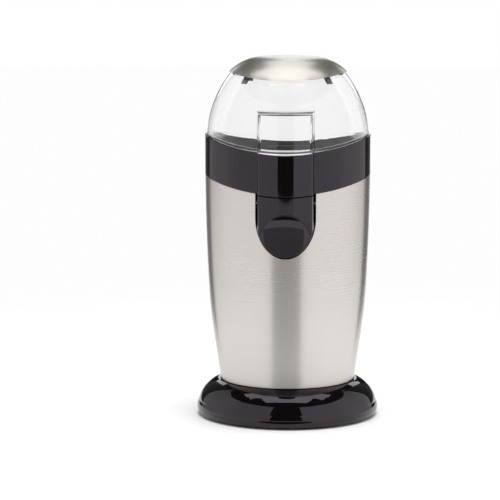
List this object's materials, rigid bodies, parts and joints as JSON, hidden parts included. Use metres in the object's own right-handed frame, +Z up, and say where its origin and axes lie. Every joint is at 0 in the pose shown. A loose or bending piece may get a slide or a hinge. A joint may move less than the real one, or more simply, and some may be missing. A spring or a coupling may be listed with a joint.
{
  "type": "coffee grinder",
  "caption": "Electric blade grinder with a clear domed lid, brushed steel sleeve, black flared foot and a front push button.",
  "frame": {"origin": "floor level on the upright axis of the body", "axes": "+Z up along the body, -Y out of the front with the button, +X to the right seen from the front, +Y out of the cord inlet"},
  "size_m": [0.1032, 0.1136, 0.2044],
  "materials": {
    "black_plastic": "high gloss",
    "grey_plastic": "satin",
    "dark_plastic": "matt",
    "clear_plastic": "clear, polished",
    "brushed_steel": "fine horizontal brushing",
    "bowl_steel": "polished",
    "zinc_steel": "plated",
    "core_steel": "laminated, dull",
    "copper": "enamelled",
    "bronze": "sintered",
    "rubber": "matt",
    "carbon": "dull",
    "yellow_plastic": "satin",
    "red_plastic": "satin",
    "wire_sleeve": "satin"
  },
  "bodies": {
    "housing": {"base_foot": "black_plastic", "base_plate": "dark_plastic", "rubber_feet": "rubber", "base_screws": "zinc_steel", "cord_gland": "rubber", "cord_clamp": "dark_plastic", "clamp_screws": "zinc_steel", "outer_shell": "brushed_steel", "collar_band": "black_plastic", "button_bezel": "black_plastic", "button_pins": "zinc_steel", "grinding_bowl": "bowl_steel", "bowl_gasket": "rubber", "bowl_carrier": "dark_plastic", "inner_housing": "dark_plastic", "lower_bearing": "bronze", "upper_bearing": "zinc_steel", "lower_motor_bracket": "dark_plastic", "upper_motor_bracket": "dark_plastic", "motor_screws": "zinc_steel", "motor_mounts": "rubber", "stator_core": "core_steel", "field_coils": "copper", "brush_holders": "dark_plastic", "carbon_brushes": "carbon", "brush_springs": "zinc_steel", "suppression_capacitor": "yellow_plastic", "thermal_cutout": "dark_plastic", "terminal_block": "dark_plastic", "lead_wires": "wire_sleeve", "shaft_seal": "rubber", "microswitch": "dark_plastic", "switch_bracket": "zinc_steel", "switch_screws": "zinc_steel", "interlock_spring": "zinc_steel", "interlock_shelf": "dark_plastic"},
    "rotor": {"drive_shaft": "zinc_steel", "armature_core": "core_steel", "armature_windings": "copper", "commutator": "copper", "cooling_fan": "dark_plastic", "blade_spacer": "zinc_steel", "grinding_blade": "bowl_steel", "blade_nut": "zinc_steel"},
    "lid": {"lid_dome": "clear_plastic", "lid_cap": "brushed_steel", "cap_retainer": "dark_plastic"},
    "button": {"power_button": "grey_plastic", "button_spring": "zinc_steel"},
    "switch_rod": {"switch_plunger": "red_plastic"},
    "lid_lock": {"interlock_plunger": "dark_plastic"}
  },
  "joints": [
    {"name": "blade_spin", "type": "hinge", "parent": "housing", "child": "rotor", "pos_m": [0, 0, 0.122], "axis": [0, 0, 1], "continuous": true},
    {"name": "lid_lift", "type": "slide", "parent": "housing", "child": "lid", "axis": [0, 0, 1], "range_m": [0, 0.12]},
    {"name": "button_press", "type": "hinge", "parent": "housing", "child": "button", "pos_m": [0, -0.0406, 0.1256], "axis": [1, 0, 0], "range_deg": [0, 6], "stiffness_Nm_per_rad": 0.2, "springref_deg": -5.73},
    {"name": "switch_travel", "type": "slide", "parent": "housing", "child": "switch_rod", "axis": [0, 1, 0], "range_m": [0, 0.0021]},
    {"name": "lock_travel", "type": "slide", "parent": "housing", "child": "lid_lock", "axis": [0, 0, 1], "range_m": [0, 0.003], "deforming": ["interlock_spring"]}
  ],
  "couplings": [
    {"joint": "switch_travel", "follows": "button_press", "m_per_rad": 0.0179},
    {"joint": "lock_travel", "follows": "lid_lift", "ratio": 0.025}
  ]
}
